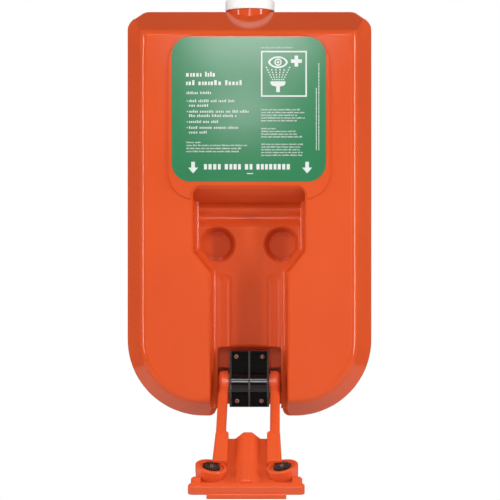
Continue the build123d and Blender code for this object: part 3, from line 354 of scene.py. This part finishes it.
def words(bm, rng, x0, x1, z, height, letter=0.62, duty=0.50):
    """A line of plain blocks grouped like words, from x0 to about x1, its foot at z."""
    x = x0
    while x < x1 - height:
        for _ in range(rng.randint(3, 8)):
            tall = height * rng.choice((0.72, 0.72, 0.72, 1.0))
            wide = height * letter * rng.choice((0.7, 1.0, 1.0, 1.15))
            if x + wide > x1:
                break
            ink(bm, rectangle(x, x + wide * duty, z, z + tall))
            x += wide
        x += height * LETTER_SPACE * SPACE_WIDTH


def pictogram(bm):
    """A framed eye over a spray, with a plus sign."""
    half, line = 36.9, 2.3
    cx, cz = 56.5, 56.8
    outer = rectangle(cx - half, cx + half, cz - half, cz + half)
    inner = rectangle(cx - half + line, cx + half - line, cz - half + line, cz + half - line)
    ring_slab(bm, at(outer), at(inner), label_front, label_front - PRINT_T)
    ex, ez = 47.0, 75.5
    lid, rim = [], []
    for target, wide, tall in ((lid, 15.8, 9.6), (rim, 12.6, 7.0)):
        for i in range(13):
            t = math.pi * i / 12
            target.append((ex - wide * math.cos(t), ez + tall * math.sin(t) ** 1.25))
        for i in range(1, 12):
            t = math.pi * i / 12
            target.append((ex + wide * math.cos(t), ez - tall * math.sin(t) ** 1.25))
    ring_slab(bm, at(lid), at(rim), label_front, label_front - PRINT_T)
    ring_outer, ring_inner = disc(ex, ez, 6.0, 6.0), disc(ex, ez, 3.8, 3.8)
    ring_slab(bm, at(ring_outer), at(ring_inner), label_front, label_front - PRINT_T)
    ink(bm, disc(ex, ez, 2.1, 2.1, 14))
    px, pz, arm, thick = 76.5, 77.3, 8.8, 2.9
    ink(bm, [
        (px - thick, pz - arm), (px + thick, pz - arm), (px + thick, pz - thick), (px + arm, pz - thick),
        (px + arm, pz + thick), (px + thick, pz + thick), (px + thick, pz + arm), (px - thick, pz + arm),
        (px - thick, pz + thick), (px - arm, pz + thick), (px - arm, pz - thick), (px - thick, pz - thick),
    ])
    last_column = SPRAY_COLUMNS - 1
    for row in range(SPRAY_ROWS):
        z = 47.5 + row * 3.9
        half_width = 9.0 + row * 1.9
        for k in range(SPRAY_COLUMNS):
            x = ex + half_width * (k / (last_column / 2) - 1)
            # the eye hides all of the top row but its ends
            if 0 < k < last_column and row == SPRAY_ROWS - 1:
                continue
            ink(bm, disc(x, z, 1.15, 1.15, 8))
    ink(bm, [
        (ex - 3, 27.4), (ex + 3, 27.4), (ex + 3, 36.5), (ex + 9.5, 38.0), (ex + 12, 41.0),
        (ex + 12, 44.8), (ex - 12, 44.8), (ex - 12, 41.0), (ex - 9.5, 38.0), (ex - 3, 36.5),
    ])


def text_blocks(bm, rng):
    """Title, subtitle, listed lines and small print, all as plain blocks."""
    words(bm, rng, LEFT_MARGIN, -49.0, 52.2, TITLE_HEIGHT, 0.72, 0.62)
    words(bm, rng, LEFT_MARGIN, -5.0, 38.6, TITLE_HEIGHT, 0.72, 0.62)
    words(bm, rng, TEXT_LEFT, -58.0, 24.2, LINE_HEIGHT, 0.66)
    for z, x1, dot in BULLET_LINES:
        words(bm, rng, BULLET_TEXT_LEFT, x1, z, LINE_HEIGHT, 0.64)
        if dot:
            ink(bm, disc(-99.0, z + 1.8, 0.9, 0.9, 10))
    words(bm, rng, TEXT_LEFT, -74.0, -54.6, SMALL_HEIGHT)
    for z, x1 in ((-59.4, -1.5), (-64.3, -12.0), (-69.2, -15.0)):
        words(bm, rng, TEXT_LEFT, x1, z, SMALL_HEIGHT)
    for top, lines, headed in ((-2.0, 5, False), (-32.4, 4, True), (-57.5, 5, False)):
        for k in range(lines):
            if k == 0 and headed:
                words(bm, rng, NOTES_LEFT, 44.0, top - NOTE_PITCH * k, NOTE_HEIGHT)
            else:
                words(bm, rng, NOTES_LEFT, 92.0 - rng.random() * 16, top - NOTE_PITCH * k, NOTE_HEIGHT)
    words(bm, rng, 19.6, 72.0, 98.0, 1.6)
    # two upright lines of small print near the right edge
    for x, z0, z1 in ((108.6, -66, 33), (112.6, -66, 74)):
        z = z0
        while z < z1:
            long = rng.uniform(1.0, 5.0)
            ink(bm, rectangle(x - 0.6, x + 0.6, z, z + long))
            z += long + 0.9


def foot_marks(bm, rng):
    """Two arrows with a heading of plain blocks between them, and a short bar below it."""
    for ax in (-89.6, 93.8):
        ink(bm, [
            (ax - ARROW_STEM, ARROW_TOP), (ax - ARROW_STEM, ARROW_NECK), (ax - ARROW_HALF, ARROW_NECK),
            (ax, ARROW_TIP),
            (ax + ARROW_HALF, ARROW_NECK), (ax + ARROW_STEM, ARROW_NECK), (ax + ARROW_STEM, ARROW_TOP),
        ])
    x = -72.0
    for count in (4, 4, 2, 8):
        for _ in range(count):
            wide = rng.choice((6.6, 7.2, 7.6))
            ink(bm, rectangle(x, x + wide * 0.66, -97.0, -88.4))
            x += wide
        x += 4.4
    ink(bm, rectangle(-3.0, 7.0, -104.2, -102.8))


def print_marks(bm):
    rng = random.Random(7)
    pictogram(bm)
    text_blocks(bm, rng)
    foot_marks(bm, rng)


label_marks = make_object("label_marks", print_marks, label_white)
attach(label_marks, "tank")

# ---------------------------------------------------------------- stage
FLOOR_DROP = 0.36
FLOOR_RADIUS = 1.6


def floor_mesh(bm):
    bmesh.ops.create_circle(bm, cap_ends=True, segments=96, radius=FLOOR_RADIUS)


floor_mat, floor_nodes, floor_links, floor_shader = new_material("floor_pale")
speck = noise(floor_nodes, floor_links, 40.0, 3.0)
floor_links.new(
    mix_colour(floor_nodes, floor_links, speck, (0.62, 0.62, 0.61), (0.59, 0.59, 0.58)),
    floor_shader.inputs["Base Color"],
)
floor_shader.inputs["Roughness"].default_value = 0.6
floor = make_object("floor", floor_mesh, floor_mat)
floor.location = (0, 0, cad_box[0][2] - FLOOR_DROP)

# The world lights the object more from above than from below, is dim in reflections, and looks white.
WORLD_LOW = 0.05
WORLD_HIGH = 0.46
WORLD_MIRRORED = 0.08
WORLD_SEEN = 1.0
WHITE = (1, 1, 1, 1)
world = bpy.data.worlds.new("studio")
scene.world = world
world.use_nodes = True
wn, wl = world.node_tree.nodes, world.node_tree.links
background = wn["Background"]
background.inputs["Color"].default_value = WHITE
direction = wn.new("ShaderNodeTexCoord")
split_direction = wn.new("ShaderNodeSeparateXYZ")
wl.new(direction.outputs["Generated"], split_direction.inputs["Vector"])
strength = spread(wn, wl, split_direction.outputs["Z"], WORLD_LOW, WORLD_HIGH, -1.0, 1.0)
wl.new(strength, background.inputs["Strength"])
mirrored = wn.new("ShaderNodeBackground")
mirrored.inputs["Color"].default_value = WHITE
mirrored.inputs["Strength"].default_value = WORLD_MIRRORED
seen = wn.new("ShaderNodeBackground")
seen.inputs["Color"].default_value = WHITE
seen.inputs["Strength"].default_value = WORLD_SEEN
path = wn.new("ShaderNodeLightPath")
gloss_blend = wn.new("ShaderNodeMixShader")
wl.new(path.outputs["Is Glossy Ray"], gloss_blend.inputs["Fac"])
wl.new(background.outputs["Background"], gloss_blend.inputs[1])
wl.new(mirrored.outputs["Background"], gloss_blend.inputs[2])
blend = wn.new("ShaderNodeMixShader")
wl.new(path.outputs["Is Camera Ray"], blend.inputs["Fac"])
wl.new(gloss_blend.outputs["Shader"], blend.inputs[1])
wl.new(seen.outputs["Background"], blend.inputs[2])
wl.new(blend.outputs["Shader"], wn["World Output"].inputs["Surface"])


def area_light(name, place, target, size, power, size_y=None):
    """A rectangular light that faces the target, or a square one if it has no size_y."""
    data = bpy.data.lights.new(name, "AREA")
    data.energy = power
    data.shape = "RECTANGLE" if size_y else "SQUARE"
    data.size = size
    if size_y:
        data.size_y = size_y
    obj = bpy.data.objects.new(name, data)
    obj.location = place
    obj.rotation_euler = (Vector(target) - Vector(place)).to_track_quat("-Z", "Y").to_euler()
    scene.collection.objects.link(obj)
    return obj


area_light("strip_left", (-2.1, -1.4, 0.0), (0, -0.15, -0.1), 0.20, 28, 1.7)
area_light("strip_right", (2.1, -1.4, 0.0), (0, -0.15, -0.1), 0.20, 36, 1.7)
area_light("key_left", (-0.78, -2.8, -0.15), (0, -0.15, -0.15), 0.25, 2.2, 0.9)
area_light("key_right", (0.85, -2.8, -0.15), (0, -0.15, -0.15), 0.25, 1.2, 0.9)
area_light("label_box", (-0.05, -2.95, 0.68), (0, -0.15, 0.1), 0.40, 6.4, 0.48)
area_light("label_lamp", (-0.074, -2.95, 0.287), (0, -0.15, 0.1), 0.20, 0.8, 0.09)
area_light("high_strip", (0.0, -2.0, 1.15), (0, -0.15, -0.3), 1.2, 9, 0.14)
area_light("low_fill", (0.0, -2.2, -1.3), (0, -0.15, -0.3), 1.6, 0.8, 0.5)
# Lights that brighten the surfaces without showing in their reflections.
SOFT_FILLS = (
    ("front_fill", (0.05, -3.2, -0.45), 0.9, 13),
    ("top_fill", (0.0, -1.1, 1.9), 0.9, 7),
    ("side_fill_left", (-2.3, -0.6, -0.1), 0.9, 6),
    ("side_fill_right", (2.3, -0.6, -0.1), 0.9, 7),
)
for fill_name, fill_place, fill_size, fill_power in SOFT_FILLS:
    fill = area_light(fill_name, fill_place, (0, -0.15, -0.2), fill_size, fill_power)
    fill.visible_glossy = False
area_light("rim_top", (0.0, 2.0, 1.2), (0, -0.1, 0.2), 1.6, 9, 1.2)

# ---------------------------------------------------------------- camera
SENSOR_WIDTH = 36.0
FRONT_DISTANCE = 2.8
FRONT_VIEW_WIDTH = 0.83333
camera_data = bpy.data.cameras.new("camera")
camera = bpy.data.objects.new("camera", camera_data)
scene.collection.objects.link(camera)
camera.location = (0.055, -2.900, -0.1642)
camera.rotation_euler = (math.pi / 2, 0, 0)
camera_data.sensor_width = SENSOR_WIDTH
camera_data.lens = SENSOR_WIDTH * FRONT_DISTANCE / FRONT_VIEW_WIDTH
camera_data.shift_x = -0.066
camera_data.clip_end = 50.0
scene.camera = camera
scene.view_settings.view_transform = "Standard"
scene.view_settings.look = "None"
